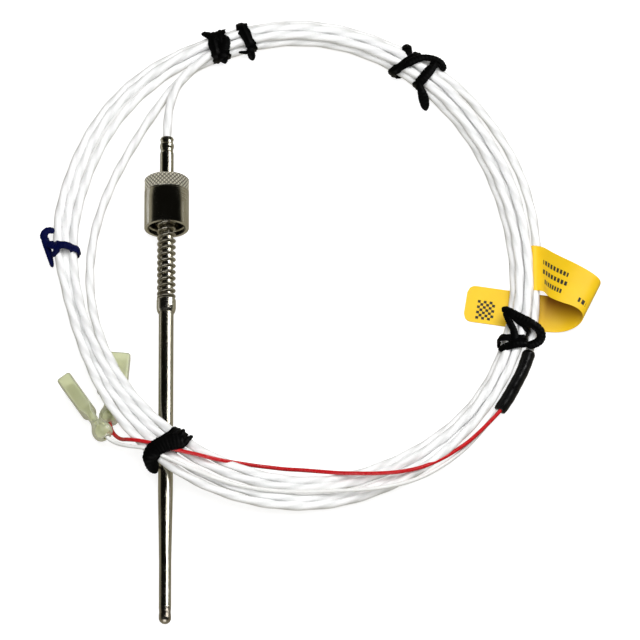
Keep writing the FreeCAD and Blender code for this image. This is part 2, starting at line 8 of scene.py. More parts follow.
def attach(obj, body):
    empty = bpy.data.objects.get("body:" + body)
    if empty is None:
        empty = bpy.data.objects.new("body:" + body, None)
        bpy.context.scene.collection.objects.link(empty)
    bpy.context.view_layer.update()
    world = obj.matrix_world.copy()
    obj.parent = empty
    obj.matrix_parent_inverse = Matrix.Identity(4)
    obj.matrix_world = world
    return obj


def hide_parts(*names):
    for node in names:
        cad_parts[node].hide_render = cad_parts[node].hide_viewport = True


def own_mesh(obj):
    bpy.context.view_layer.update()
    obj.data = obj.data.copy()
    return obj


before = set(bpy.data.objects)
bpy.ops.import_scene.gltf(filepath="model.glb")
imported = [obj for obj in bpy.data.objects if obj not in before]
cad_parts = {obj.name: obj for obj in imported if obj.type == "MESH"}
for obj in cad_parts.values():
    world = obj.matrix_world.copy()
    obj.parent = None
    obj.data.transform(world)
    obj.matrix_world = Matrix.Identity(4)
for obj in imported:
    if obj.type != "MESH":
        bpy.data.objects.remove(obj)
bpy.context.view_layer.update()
SCENE = bpy.context.scene
MM = 0.001


def mm(x, y, z):
    return Vector((x, y, z)) * MM


# ---------------------------------------------------------------- camera

TARGET = mm(49.1, 23.8, 0)
ELEVATION = math.radians(66)
LENS, SENSOR = 900.0, 36.0
VIEW_WIDTH = 0.2046

camera_data = bpy.data.cameras.new("camera")
camera_data.lens, camera_data.sensor_width = LENS, SENSOR
camera_data.clip_start, camera_data.clip_end = 0.05, 40.0
camera = bpy.data.objects.new("camera", camera_data)
SCENE.collection.objects.link(camera)
towards_camera = Vector((0, -math.cos(ELEVATION), math.sin(ELEVATION)))
camera.location = TARGET + towards_camera * (VIEW_WIDTH * LENS / SENSOR)
camera.rotation_euler = (-towards_camera).to_track_quat("-Z", "Y").to_euler()
SCENE.camera = camera
SCENE.view_settings.view_transform = "Standard"


# ---------------------------------------------------------------- mesh helpers

def mesh_piece(name, points, faces, sharp=None):
    """A shown mesh with smooth shading, creased where faces meet at more than sharp degrees."""
    mesh = bpy.data.meshes.new(name)
    mesh.from_pydata([tuple(p) for p in points], [], faces)
    mesh.validate()
    mesh.shade_smooth()
    if sharp is not None:
        mesh.set_sharp_from_angle(angle=math.radians(sharp))
    piece = bpy.data.objects.new(name, mesh)
    SCENE.collection.objects.link(piece)
    return piece


def grid_faces(rings, around, closed=False, capped=False, first=0):
    """Quads between rings of points, each ring closed on itself."""
    faces = []
    for i in range(rings if closed else rings - 1):
        here, there = first + i * around, first + (i + 1) % rings * around
        for j in range(around):
            k = (j + 1) % around
            faces.append((here + j, here + k, there + k, there + j))
    if capped:
        faces.append(tuple(first + j for j in reversed(range(around))))
        faces.append(tuple(first + (rings - 1) * around + j for j in range(around)))
    return faces


def smooth_line(name, points, steps):
    """The line of a NURBS curve whose control points are a route's points."""
    curve = bpy.data.curves.new(name, "CURVE")
    curve.dimensions = "3D"
    spline = curve.splines.new("NURBS")
    spline.points.add(len(points) - 1)
    for control, point in zip(spline.points, points):
        control.co = (point.x, point.y, point.z, 1)
    spline.order_u = 3
    spline.use_endpoint_u = True
    curve.resolution_u = steps
    bare = bpy.data.objects.new(name, curve)
    mesh = bpy.data.meshes.new_from_object(bare)
    line = np.array([v.co for v in mesh.vertices], float)
    bpy.data.meshes.remove(mesh)
    bpy.data.curves.remove(curve)
    return line


def spaced(line, step):
    """The line again with points an even step apart, and how far along it each one is."""
    along = np.concatenate([[0], np.cumsum(np.linalg.norm(np.diff(line, axis=0), axis=1))])
    at = np.linspace(0, along[-1], max(4, int(along[-1] / step) + 1))
    return np.stack([np.interp(at, along, line[:, k]) for k in range(3)], axis=1), at


def frames_along(line):
    """A tangent, a sideways and an upward direction at each point, without twist."""
    tangent = np.gradient(line, axis=0)
    tangent /= np.linalg.norm(tangent, axis=1)[:, None]
    side = np.zeros_like(line)
    start = np.cross(tangent[0], (0, 0, 1))
    side[0] = start / np.linalg.norm(start)
    for i in range(1, len(line)):
        carried = side[i - 1] - tangent[i] * (side[i - 1] @ tangent[i])
        side[i] = carried / np.linalg.norm(carried)
    return tangent, side, np.cross(side, tangent)


def swept(name, line, at, sides, radius, sharp=None, paint=None):
    """A tube whose radius depends on how far along it is and on the angle round it.

    paint, if given, is a value from 0 to 1 kept with each point for the material to read."""
    tangent, side, up = frames_along(line)
    angle = np.arange(sides) * 2 * math.pi / sides
    reach = radius(at[:, None], angle[None, :])
    spokes = (np.cos(angle)[None, :, None] * side[:, None, :]
              + np.sin(angle)[None, :, None] * up[:, None, :])
    rings = line[:, None, :] + reach[..., None] * spokes
    piece = mesh_piece(name, rings.reshape(-1, 3), grid_faces(len(line), sides, capped=True), sharp)
    if paint is not None:
        tone = piece.data.attributes.new("tone", "FLOAT", "POINT")
        values = np.broadcast_to(paint(at[:, None], angle[None, :]), reach.shape)
        tone.data.foreach_set("value", values.astype(np.float32).ravel())
    return piece


def finished(piece, body, slot, *nodes):
    """Put a piece on its body and hide the CAD nodes that it stands for; the slot is not used."""
    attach(piece, body)
    if nodes:
        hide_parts(*nodes)
    return piece


# ---------------------------------------------------------------- the lead and its two wires

LEAD_START = [mm(0, 78.65, 7.15), mm(0, 85.5, 7.15), mm(0.3, 92.5, 6.7), mm(1.4, 99.5, 5.4),
              mm(4.0, 106.2, 3.8), mm(8.9, 111.6, 2.6), mm(15.2, 114.9, 2.2)]
SLEEVE_ROUTE = [mm(116, 11.9, 2.1), mm(115, 8.4, 2.1), mm(113, 3.4, 2.1), mm(110.2, -2.4, 2.1),
                mm(106.4, -8.7, 2.1)]
RED_ROUTE = [mm(106.7, -8.9, 2.75), mm(99.3, -17.5, 2.5), mm(91.3, -23.9, 3), mm(83.9, -28.7, 4.6),
             mm(77.4, -31.4, 6.2), mm(69.3, -32.5, 6.5), mm(60.3, -32.4, 6.3), mm(52.9, -31.4, 4.6),
             mm(45.9, -29.8, 2.6), mm(38, -29.1, 2), mm(30.2, -28.8, 3.6), mm(23.5, -29.5, 7.6),
             mm(16.6, -30.1, 12), mm(10.3, -29, 13.6), mm(3.6, -27.4, 13.6), mm(-5.1, -24.7, 13.6),
             mm(-11.5, -22.9, 11.8), mm(-14.8, -20.6, 6), mm(-17.8, -16.2, 4.1),
             mm(-18, -11.8, 3.1)]
WHITE_ROUTE = [mm(105.8, -8.4, 1.45), mm(99.4, -17.3, 0.85), mm(92.3, -24.5, 1.2),
               mm(84.1, -31.1, 3.2), mm(77.1, -35.4, 6), mm(67.1, -37.8, 6.6), mm(56.5, -38.3, 6.3),
               mm(46.4, -38.5, 5.7), mm(36.4, -38.9, 6.9), mm(27.1, -38.6, 8.9),
               mm(18, -37.2, 11.4), mm(9.8, -34.6, 13.6), mm(1.6, -30.7, 13.6),
               mm(-5.9, -26.6, 13.5), mm(-12, -25, 11.2), mm(-15.6, -23.2, 9),
               mm(-18.8, -20.8, 8.25), mm(-21, -17.3, 7.85)]
LEAD_DIAMETER = 2.8
CORE_RADIUS = 0.65

COIL_CENTRE = Vector((41.4, 41.0, 0))
COIL_STRETCH = 1.095
# the angles between which a turn moves over by one lane
LANE_SHIFT = (288, 314)
# angle clockwise from +Y, inner radius, spacing of the turns, height of their underside
COIL_STATIONS = [
    (0, 71.9, 1.42, 0.75), (20, 70.9, 1.42, 0.75), (35, 69.2, 1.7, 0.75), (50, 68.1, 1.45, 0.75),
    (62, 67.1, 1.72, 0.75), (75, 67.2, 1.59, 0.75), (90, 68.1, 1.42, 0.75), (100, 69.1, 1.56, 0.75),
    (120, 70.2, 1.42, 0.75), (132, 70.1, 1.52, 0.75), (141, 68.8, 2.05, 0.75),
    (150, 67.7, 2.43, 0.75), (162, 67.2, 2.84, 0.9), (175, 67.0, 2.96, 1.1), (192, 66.9, 3.28, 5.0),
    (207, 67.2, 3.45, 10.0), (222, 66.8, 3.05, 10.0), (231, 66.1, 2.66, 8.0),
    (241, 65.6, 2.05, 6.4), (252, 66.1, 1.67, 3.4), (262, 67.1, 1.6, 0.9), (285, 68.0, 3.1, 0.75),
    (300, 68.3, 2.8, 0.75), (312, 68.6, 2.58, 0.75), (322, 69.2, 2.35, 0.75),
    (332, 70.3, 1.75, 0.75), (341, 71.1, 1.42, 0.75)]
# the innermost turn hangs away from the others on one side, and the outermost on another
LOOSE_FROM, LOOSE_TO, LOOSE_BY = 243, 335, 4.9
APART_FROM, APART_TO, APART_BY = 33, 98, 3.3
# where the first turn moves over to the second lane; the later turns use LANE_SHIFT
FIRST_SHIFT = (305, 340)
COIL_FIRST, COIL_LAST, COIL_STEP = -7, 1541, 15
# a NURBS line cuts inside its control points by this share of the radius at that step
CUT_IN = 0.9915
# where the ties hold the turns together, and how far a turn may wander between them
TIED_AT = (30, 108, 214, 275, 344, 390)
WANDER = 0.42


def smooth_step(low, high, value):
    share = min(1.0, max(0.0, (value - low) / (high - low)))
    return share * share * (3 - 2 * share)


def coil_at(angle):
    """Inner radius, spacing and underside of the coil, as in the part's source."""
    angle %= 360
    ends = COIL_STATIONS + [(360,) + COIL_STATIONS[0][1:]]
    for before, after in zip(ends, ends[1:]):
        if before[0] <= angle <= after[0]:
            share = smooth_step(before[0], after[0], angle)
            return [a + (b - a) * share for a, b in zip(before[1:], after[1:])]


def lane_at(angle):
    """Which turn, counted outward, the lead is on; it moves over by one on each lap."""
    lap = math.floor(angle / 360)
    return lap + smooth_step(*(LANE_SHIFT if lap else FIRST_SHIFT), angle % 360)


def slack_at(angle):
    """Zero at a tie and one in the middle between two ties."""
    angle %= 360
    for low, high in zip((-16,) + TIED_AT, TIED_AT):
        if low <= angle <= high:
            return math.sin(math.pi * (angle - low) / (high - low)) ** 2
    return 0.0


def on_coil(angle, outward, height):
    """A point, in millimetres, outward of the coil's inner outline."""
    inner = coil_at(angle)[0]
    turn = math.radians(angle)
    return COIL_CENTRE + Vector(((inner + outward) * math.sin(turn),
                                 (inner * COIL_STRETCH + outward) * math.cos(turn), height))


def lead_place(angle):
    """Where the lead's middle is, outward and up, at an angle from the first turn's start."""
    inner, spacing, underside = coil_at(angle)
    lane = lane_at(angle)
    outward = LEAD_DIAMETER / 2 + spacing * lane
    # the odd turns ride on their neighbours where there is no room beside them
    rise = math.sqrt(max(0.0, LEAD_DIAMETER ** 2 - spacing ** 2))
    height = underside + LEAD_DIAMETER / 2 + math.sin(math.pi * lane / 2) ** 2 * rise
    flat = angle % 360
    if angle < 360 and LOOSE_FROM < flat < LOOSE_TO:
        share = ((flat - LOOSE_FROM) / (LOOSE_TO - LOOSE_FROM)) ** 1.5
        outward -= LOOSE_BY * math.sin(math.pi * share) ** 0.7
    if lane > 3.5 and APART_FROM < flat < APART_TO:
        share = (flat - APART_FROM) / (APART_TO - APART_FROM)
        outward += APART_BY * math.sin(math.pi * share) ** 0.6
    # each turn wanders its own way where nothing ties it
    wander = WANDER * slack_at(angle)
    outward += wander * math.sin(math.radians(2.3 * angle) + 1.7 * lane)
    height += 0.35 * wander * (1 + math.sin(math.radians(3.1 * angle) + 2.4 * lane))
    return outward, height


def coil_points():
    points = []
    for angle in range(COIL_FIRST, COIL_LAST, COIL_STEP):
        outward, height = lead_place(angle)
        at = on_coil(angle, outward, height)
        middle = Vector((COIL_CENTRE.x, COIL_CENTRE.y, at.z))
        points.append((middle + (at - middle) / CUT_IN) * MM)
    return points


lead_points = LEAD_START + coil_points()
lead_points += [mm(117.7, 22.6, 2.2), mm(116.9, 16.4, 2.15)] + SLEEVE_ROUTE
whole_line, whole_at = spaced(smooth_line("lead_route", lead_points, 24), 0.00075)
SLEEVE_LENGTH = 0.0232
# how far the jacket goes on inside the sleeve
JACKET_HIDDEN = 0.009
sleeve_start = whole_at[-1] - SLEEVE_LENGTH
jacketed = whole_at <= sleeve_start + JACKET_HIDDEN
lead_line, lead_at = whole_line[jacketed], whole_at[jacketed]

TWIST_LAY = 0.021
LOBE_DEPTH = 0.09


def jacket_lobes(at, angle):
    """1 on the two cores that show through the jacket, -1 in the valleys between them."""
    return np.cos(2 * (angle - 2 * math.pi * at / TWIST_LAY))


lead = swept("main_lead", lead_line, lead_at, 16,
             lambda at, angle: (LEAD_DIAMETER / 2 + LOBE_DEPTH * jacket_lobes(at, angle)) * MM,
             paint=lambda at, angle: 0.5 + 0.5 * jacket_lobes(at, angle))
finished(lead, "probe", "lead_jacket", "lead_coil", "lead_stretch")

sleeve_line, sleeve_at = spaced(whole_line[whole_at >= sleeve_start], 0.0003)
SLEEVE_RADIUS = 2.08


def sleeve_radius(at, angle):
    """Shrunk tube: a lip at the lead's end, lumps over the splices and a pinched wire end."""
    share = at / SLEEVE_LENGTH
    lumps = (0.03 * np.sin(at * 1900 + 1.2 * np.sin(angle)) + 0.05 * np.sin(at * 620 + angle)
             + 0.05 * np.cos(2 * angle + at * 320))
    lip = 0.32 * np.exp(-(share / 0.02) ** 2)
    pinch = 0.3 * np.clip((share - 0.9) / 0.1, 0, 1) ** 2
    flat = 1 - 0.12 * np.clip((share - 0.55) / 0.3, 0, 1) * np.abs(np.sin(angle))
    return (SLEEVE_RADIUS - lip - pinch + lumps) * flat * MM


sleeve = swept("heat_shrink", sleeve_line, sleeve_at, 32, sleeve_radius)
finished(sleeve, "probe", "heat_shrink", "shrink_sleeve")


def wire(name, points, slot, node):
    """One insulated core, with the slight kinks that thin wire keeps."""
    line, at = spaced(smooth_line(name, points, 20), 0.0006)
    piece = swept(name, line, at, 14,
                  lambda at, angle: (CORE_RADIUS + 0.015 * np.sin(at * 700 + angle)) * MM)
    finished(piece, "probe", slot, node)
    return piece, line


red, red_line = wire("wire_red", RED_ROUTE, "red_insulation", "lead_red")
white, white_line = wire("wire_white", WHITE_ROUTE, "white_insulation", "lead_white")


# ---------------------------------------------------------------- cap and spring

TIP_Y = -84.35
CAP_RADIUS = 7.15
AXIS_Z = CAP_RADIUS
CAP_COLUMNS = 384
# the two notches in the cap's inner lip: the radius they reach, and half their width
NOTCH_REACH, NOTCH_HALF = 6.05, 1.9
KNURL = dict(start=149.6, end=153.72, teeth=32, deep=0.42)


def cap_profile():
    """(station, radius, is it in the knurled band, is it on the inside lip) round the section."""
    outside = [(136.85, 6.25), (136.85, 6.9), (136.9, 7.05), (137.02, 7.13), (137.15, 7.15),
               (140.0, 7.15), (143.0, 7.15), (146.0, 7.15), (148.95, 7.15), (149.04, 7.12),
               (149.16, 7.0), (149.2, 6.98), (149.38, 6.98), (149.42, 7.0), (149.54, 7.11)]
    rows = [(s, r, False, False) for s, r in outside]
    steps = 24
    for i in range(steps + 1):
        station = KNURL["start"] + (KNURL["end"] - KNURL["start"]) * i / steps
        rows.append((station, CAP_RADIUS, True, False))
    top = [(153.75, 7.1), (153.8, 7.06), (153.98, 6.88), (154.03, 6.8), (154.05, 6.7),
           (154.05, 5.0), (154.05, 2.45), (154.02, 2.36), (153.94, 2.325), (152.95, 2.325),
           (152.85, 2.43), (152.85, 5.9), (152.8, 6.05), (152.65, 6.1), (147.0, 6.1),
           (140.8, 6.1)]
    rows += [(s, r, False, False) for s, r in top]
    rows += [(140.62, 5.66, False, True), (140.5, 5.6, False, True), (138.6, 5.6, False, True),
             (138.48, 5.66, False, True)]
    rows += [(138.3, 6.1, False, False), (136.95, 6.1, False, False), (136.88, 6.15, False, False)]
    return rows


def zigzag(value):
    """The height between two grooves: 0 in a groove and 1 half way."""
    return 1 - abs(2 * (value - math.floor(value)) - 1)


def build_cap():
    """The cap, its knurl cut as two crossing sets of grooves round the back."""
    points, tones, bands = [], [], []
    rows = cap_profile()
    pitch = 2 * math.pi * CAP_RADIUS / KNURL["teeth"]
    for station, radius, knurled, lip in rows:
        fade = min(1.0, (station - KNURL["start"]) / 0.25, (KNURL["end"] - station) / 0.25)
        for column in range(CAP_COLUMNS):
            turn = 2 * math.pi * column / CAP_COLUMNS
            reach, tone = radius, 0.5
            if knurled:
                round_it = column / CAP_COLUMNS * KNURL["teeth"]
                along = (station - KNURL["start"]) / pitch
                height = min(zigzag(round_it + along), zigzag(round_it - along))
                reach -= KNURL["deep"] * (1 - min(1.0, 1.25 * height)) * max(0.0, fade)
                tone = height
            if lip and abs(NOTCH_REACH * math.sin(turn)) < NOTCH_HALF:
                reach = NOTCH_REACH
            points.append(mm(reach * math.cos(turn), station + TIP_Y,
                             AXIS_Z - reach * math.sin(turn)))
            tones.append(tone)
            bands.append(float(knurled))
    piece = mesh_piece("cap_shell", points, grid_faces(len(rows), CAP_COLUMNS, closed=True), 32)
    tone = piece.data.attributes.new("tone", "FLOAT", "POINT")
    tone.data.foreach_set("value", np.array(tones, np.float32))
    cut = piece.data.attributes.new("knurled", "FLOAT", "POINT")
    cut.data.foreach_set("value", np.array(bands, np.float32))
    return piece


cap = build_cap()
finished(cap, "lock_cap", "nickel_plate", "bayonet_cap")


def build_spring():
    """Round wire wound at an even pitch, with a closed turn at each end."""
    gauge, mean, turns, per_turn = 0.8, 2.615, 19.2, 40
    low, high = 112.05 + gauge / 2, 152.0 - gauge / 2
    count = int(turns * per_turn)
    turn = np.linspace(0, turns, count)
    # 0 in the closed turns and 1 in the active ones
    active = np.minimum(1, np.clip((np.minimum(turn, turns - turn) - 0.75) / 0.5, 0, 1))
    closed = gauge * 1.02 * (1 - active)
    step = turns / (count - 1)
    closed_height = np.concatenate([[0], np.cumsum((closed[1:] + closed[:-1]) / 2 * step)])
    active_height = np.concatenate([[0], np.cumsum((active[1:] + active[:-1]) / 2 * step)])
    scale = (high - low - closed_height[-1]) / active_height[-1]
    y = low + closed_height + active_height * scale + TIP_Y
    angle = 2 * math.pi * turn + 0.9
    line = np.stack([mean * np.cos(angle), y, AXIS_Z - mean * np.sin(angle)], axis=1) * MM
    at = np.arange(count) * 2 * math.pi * mean / per_turn * MM
    return swept("spring_coil", line, at, 14,
                 lambda at, angle: np.full((at.size, angle.size), gauge / 2) * MM)


spring = build_spring()
finished(spring, "probe", "spring_steel", "compression_spring")
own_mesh(spring)


# ---------------------------------------------------------------- push-on terminals

# along from the wire's end, half width, half height, how square the section is
HOUSING_OUTSIDE = [
    (0.0, 1.25, 1.25, 2), (0.08, 1.7, 1.7, 2), (0.4, 2.45, 2.45, 2), (1.1, 3.02, 3.02, 2),
    (2.1, 3.32, 3.3, 2), (3.2, 3.32, 3.28, 2), (4.2, 3.05, 2.95, 2), (5.1, 2.6, 2.4, 2),
    (6.0, 2.2, 1.9, 2), (7.0, 2.05, 1.56, 2.2), (8.2, 2.3, 1.45, 2.5), (9.4, 3.1, 1.55, 2.8),
    (10.3, 4.05, 1.9, 3.4), (11.0, 4.62, 2.28, 4.5), (11.7, 4.84, 2.46, 6), (15.0, 4.86, 2.47, 7),
    (19.0, 4.86, 2.47, 7), (23.9, 4.9, 2.5, 7), (24.2, 4.86, 2.46, 7), (24.4, 4.72, 2.32, 7)]
HOUSING_INSIDE = [
    (24.4, 4.25, 1.85, 7), (24.15, 4.1, 1.7, 7), (23.8, 4.05, 1.66, 7), (12.4, 4.0, 1.62, 7),
    (11.2, 3.7, 1.5, 4), (9.6, 2.4, 1.1, 2.5), (7.6, 1.6, 0.95, 2.2), (6.0, 1.6, 1.2, 2),
    (4.2, 1.7, 1.5, 2), (2.4, 1.3, 1.3, 2), (0.9, 1.0, 1.0, 2), (0.12, 0.95, 0.95, 2)]
SECTION_POINTS = 56
CRIMP_POINTS = 28


def section(along, half_width, half_height, squareness):
    """A ring that is round at squareness 2 and nearer a rectangle above it."""
    ring = []
    for i in range(SECTION_POINTS):
        angle = 2 * math.pi * (i + 0.5) / SECTION_POINTS
        c, s = math.cos(angle), math.sin(angle)
        ring.append(Vector((half_width * math.copysign(abs(c) ** (2 / squareness), c), along,
                            half_height * math.copysign(abs(s) ** (2 / squareness), s))))
    return ring


def aimed(mouth, tip, roll):
    """From the wire's end towards the tab's end, rolled about that line."""
    point = Vector((0, 1, 0)).rotation_difference(tip - mouth).to_matrix().to_4x4()
    return Matrix.Translation(mouth) @ point @ Matrix.Rotation(math.radians(roll), 4, "Y")


def between(stations, spacing):
    """More stations between the given ones, about spacing apart."""
    made = []
    for before, after in zip(stations, stations[1:]):
        steps = max(1, int(abs(after[0] - before[0]) / spacing))
        made += [tuple(a + (b - a) * i / steps for a, b in zip(before, after))
                 for i in range(steps)]
    return made + [stations[-1]]


def build_housing(number, place):
    """A moulded sleeve, open at both ends, with a stop ridge and a notch at the tab's end."""
    stations = between(HOUSING_OUTSIDE, 0.7) + between(HOUSING_INSIDE, 0.9)
    points = []
    for station in stations:
        for point in section(*station):
            x, y, z = point
            # the notch in the middle of the open end's upper side
            if y > 22.0 and z > 0 and abs(x) < 1.5:
                y = min(y, 22.9 + 0.6 * abs(x / 1.5) ** 4 * 2.4)
            points.append(place @ Vector((x, y, z)) * MM)
    faces = grid_faces(len(stations), SECTION_POINTS, closed=True)
    piece = mesh_piece("housing_%d" % number, points, faces, 50)
    return finished(piece, "probe", "nylon", "terminal_housing_%d" % number)


def build_crimp(number, place):
    """The receptacle's crimped barrel: two flattened rolls with a seam between them."""
    stations = np.linspace(4.2, 10.4, 40)
    points = []
    for y in stations:
        pinch = 0.18 * math.exp(-((y - 5.6) / 0.5) ** 2) + 0.22 * math.exp(-((y - 8.2) / 0.7) ** 2)
        for i in range(CRIMP_POINTS):
            angle = 2 * math.pi * i / CRIMP_POINTS
            seam = 0.16 * math.exp(-((angle - math.pi / 2) / 0.25) ** 2)
            points.append(place @ Vector(((1.15 - pinch * 0.3) * math.cos(angle), y,
                                          (0.8 - pinch - seam) * math.sin(angle))) * MM)
    faces = grid_faces(len(stations), CRIMP_POINTS, capped=True)
    piece = mesh_piece("crimp_%d" % number, points, faces, 50)
    return finished(piece, "probe", "tinned_brass", "crimp_barrel_%d" % number)


PLACE_1 = aimed(Vector((-18.8, -20.8, 8.3)), Vector((-31.8, -0.2, 6.0)), 76)
PLACE_2 = aimed(Vector((-18.2, -13.9, 3.3)), Vector((-16.2, 10.4, 2.6)), 0)
housings = [build_housing(1, PLACE_1), build_housing(2, PLACE_2)]
crimps = [build_crimp(1, PLACE_1), build_crimp(2, PLACE_2)]


# ---------------------------------------------------------------- label

LABEL_FAR = [(96.6, 36.0, 0.1), (108.0, 34.2, 0.1), (120.2, 32.3, 0.1), (128.0, 31.3, 0.5),
             (134.0, 31.6, 2.2), (138.2, 32.5, 5.0), (139.2, 33.8, 8.2), (136.2, 35.8, 10.2),
             (130.6, 39.3, 10.0), (124.4, 43.7, 7.2), (120.6, 47.4, 4.6)]
LABEL_NEAR = [(94.7, 23.5, 0.1), (106.1, 21.7, 0.1), (118.3, 19.8, 0.1), (125.6, 19.0, 0.5),
              (130.0, 19.6, 2.2), (132.9, 21.1, 4.4), (133.4, 22.8, 6.9), (130.8, 24.8, 8.4),
              (125.8, 26.4, 8.5), (121.8, 29.0, 6.9), (120.7, 31.9, 4.6)]
LABEL_WIDTH = 12.7
LABEL_THICK = 0.22
LABEL_CORNER = 2.6
LABEL_STATIONS = 180
# points across each side of the strip
ACROSS = 15
# the coil where the label wraps it: inner radius, spacing of the turns and turns further in
WRAP_INNER, WRAP_SPACING, WRAP_TURNS = 67.5, 1.9, 4
# the height and radius of the curl round the lead, and the directions that it passes through
WRAP_HEIGHT, WRAP_RADIUS = 2.15, 1.75
WRAP_DEGREES = (62, 95, 130, 165, 200, 235)


def wrap_edge(y):
    """The label's end curls over the outermost turn and down its inner side."""
    far_out = WRAP_INNER + LEAD_DIAMETER / 2 + WRAP_SPACING * WRAP_TURNS
    turn = math.acos((y - COIL_CENTRE.y) / (far_out + WRAP_INNER * (COIL_STRETCH - 1)))
    middle = Vector((COIL_CENTRE.x + far_out * math.sin(turn), y, WRAP_HEIGHT))
    return [middle + Vector((WRAP_RADIUS * math.cos(a), 0, WRAP_RADIUS * math.sin(a)))
            for a in (math.radians(d) for d in WRAP_DEGREES)]


def build_label():
    """The folded strip, lofted between its far and near edges and closed round its end."""
    far = [Vector(p) for p in LABEL_FAR] + wrap_edge(48.2)
    near = [Vector(p) for p in LABEL_NEAR] + wrap_edge(32.6)
    lines = [smooth_line("label_edge", edge, 14) for edge in (far, near)]
    count = LABEL_STATIONS
    edges = []
    # more stations near the two ends, whose corners are round
    even = np.linspace(0, 1, count)
    crowded = 0.3 * even + 0.7 * (1 - np.cos(math.pi * even)) / 2
    for line in lines:
        share = crowded * (len(line) - 1)
        edges.append(np.stack([np.interp(share, np.arange(len(line)), line[:, k])
                               for k in range(3)], axis=1))
    middle = (edges[0] + edges[1]) / 2
    along = np.concatenate([[0], np.cumsum(np.linalg.norm(np.diff(middle, axis=0), axis=1))])
    points, strip = [], []
    for i in range(count):
        f, n = Vector(edges[0][i]), Vector(edges[1][i])
        ahead = Vector(edges[0][min(i + 1, count - 1)]) - Vector(edges[0][max(i - 1, 0)])
        ahead += Vector(edges[1][min(i + 1, count - 1)]) - Vector(edges[1][max(i - 1, 0)])
        lift = (n - f).cross(ahead).normalized() * LABEL_THICK
        # the corners at both ends are round
        inset = 0.0
        for end in (along[i], along[-1] - along[i]):
            if end < LABEL_CORNER:
                inset = LABEL_CORNER - math.sqrt(LABEL_CORNER ** 2 - (LABEL_CORNER - end) ** 2)
        edge = inset / (n - f).length
        shares = [edge + (1 - 2 * edge) * j / (ACROSS - 1) for j in range(ACROSS)]
        for share in shares:
            points.append((f.lerp(n, share)) * MM)
            strip.append((along[i], share * LABEL_WIDTH))
        for share in reversed(shares):
            points.append((f.lerp(n, share) + lift) * MM)
            strip.append((along[i], share * LABEL_WIDTH))
    around = 2 * ACROSS
    piece = mesh_piece("label_strip", points, grid_faces(count, around, capped=True), 60)
    # where each point is on the flat strip, in millimetres, for the printing
    for name, k in (("strip_along", 0), ("strip_across", 1)):
        kept = piece.data.attributes.new(name, "FLOAT", "POINT")
        kept.data.foreach_set("value", np.array([s[k] for s in strip], np.float32))
    side = piece.data.attributes.new("printed_side", "FLOAT", "POINT")
    printed = [float(i % around >= ACROSS) for i in range(len(points))]
    side.data.foreach_set("value", np.array(printed, np.float32))
    return finished(piece, "probe", "label_vinyl", "marker_label")


label = build_label()


# ---------------------------------------------------------------- ties

random.seed(7)
# the lowest that the middle of a tie's ribbon comes above the table
TIE_LOWEST = 0.55
# half of a coated tie's section: across the ribbon, thickness; the wire is the middle bulge
TIE_SECTION = [(-1.0, 0.1), (-0.72, 0.16), (-0.3, 0.2), (-0.16, 0.4), (0.0, 0.48), (0.16, 0.4),
               (0.3, 0.2), (0.72, 0.16), (1.0, 0.1)]


def ribbon(path, outward, width):
    """Points and faces of a coated ribbon round a closed path, its flat side facing outward."""
    count = len(path)
    points = []
    for i, (at, out) in enumerate(zip(path, outward)):
        across = (path[(i + 1) % count] - path[i - 1]).cross(out).normalized()
        out = out.normalized()
        half = width * 0.5 * (1 + 0.1 * math.sin(i * 0.9) + 0.06 * random.uniform(-1, 1))
        points += [at + across * half * x + out * y for x, y in TIE_SECTION]
        points += [at + across * half * x - out * y * 0.8 for x, y in reversed(TIE_SECTION)]
    return points, grid_faces(count, 2 * len(TIE_SECTION), closed=True)


def band(angle, inside, outside, low, high, start, wide, width, bulge=0.0):
    """One closed loop of ribbon round the bundle, slanting from its inner to its outer side."""
    path, outward = [], []
    count = 64
    base = on_coil(angle, 0, 0)
    turn = math.radians(angle)
    out = Vector((math.sin(turn), math.cos(turn), 0))
    onward = Vector((math.cos(turn), -math.sin(turn), 0))
    middle_out, half_out = start + wide / 2, wide / 2 + 0.3
    middle_up, half_up = (low + high) / 2, (high - low) / 2 + 0.3
    for i in range(count):
        a = 2 * math.pi * i / count
        c, s = math.cos(a), math.sin(a)
        o = half_out * math.copysign(abs(c) ** 0.62, c)
        u = half_up * math.copysign(abs(s) ** 0.62, s)
        if s > 0:
            u += bulge * s * math.sin(3 * a + angle)
        share = 0.5 + 0.5 * o / half_out
        along = inside + (outside - inside) * share + 0.25 * math.sin(2 * a + angle)
        up = Vector((0, 0, max(TIE_LOWEST, middle_up + u)))
        path.append(base + out * (middle_out + o) + onward * along + up)
        outward.append(out * (c / half_out) + Vector((0, 0, s / half_up)))
    return ribbon(path, outward, width)


def build_tie(number, slot, parts):
    """One tie from its bands and strokes, each a pair of points and faces."""
    points, faces = [], []
    for some, quads in parts:
        faces += [tuple(i + len(points) for i in quad) for quad in quads]
        points += some
    piece = mesh_piece("tie_%d" % number, [p * MM for p in points], faces, 50)
    return finished(piece, "probe", slot, "twist_tie_%d" % number)


UP = Vector((0, 0, 1))


def coil_box(angle):
    """Underside, top and width of the bundle of turns at an angle."""
    inner, spacing, underside = coil_at(angle)
    rise = math.sqrt(max(0.0, LEAD_DIAMETER ** 2 - spacing ** 2))
    flat = angle % 360
    extra = 1 - smooth_step(100, 110, flat) + smooth_step(*LANE_SHIFT, flat)
    return underside, underside + LEAD_DIAMETER + rise, LEAD_DIAMETER + spacing * (3 + extra)


def bands_at(angle, slants, width, spare=0.1):
    """One band round the whole bundle for each slant, from its inner to its outer side."""
    low, high, wide = coil_box(angle)
    return [band(angle, inside, outside, low + 0.25, high + spare, -0.2, wide + 0.4, width, 0.12)
            for inside, outside in slants]


# tie 5 goes round the three outer turns: underside, top, where it starts and how wide it is
LAST_TURNS = (1.1, 5.2, 2.0, 7.8)


STROKE_SIDES = 20


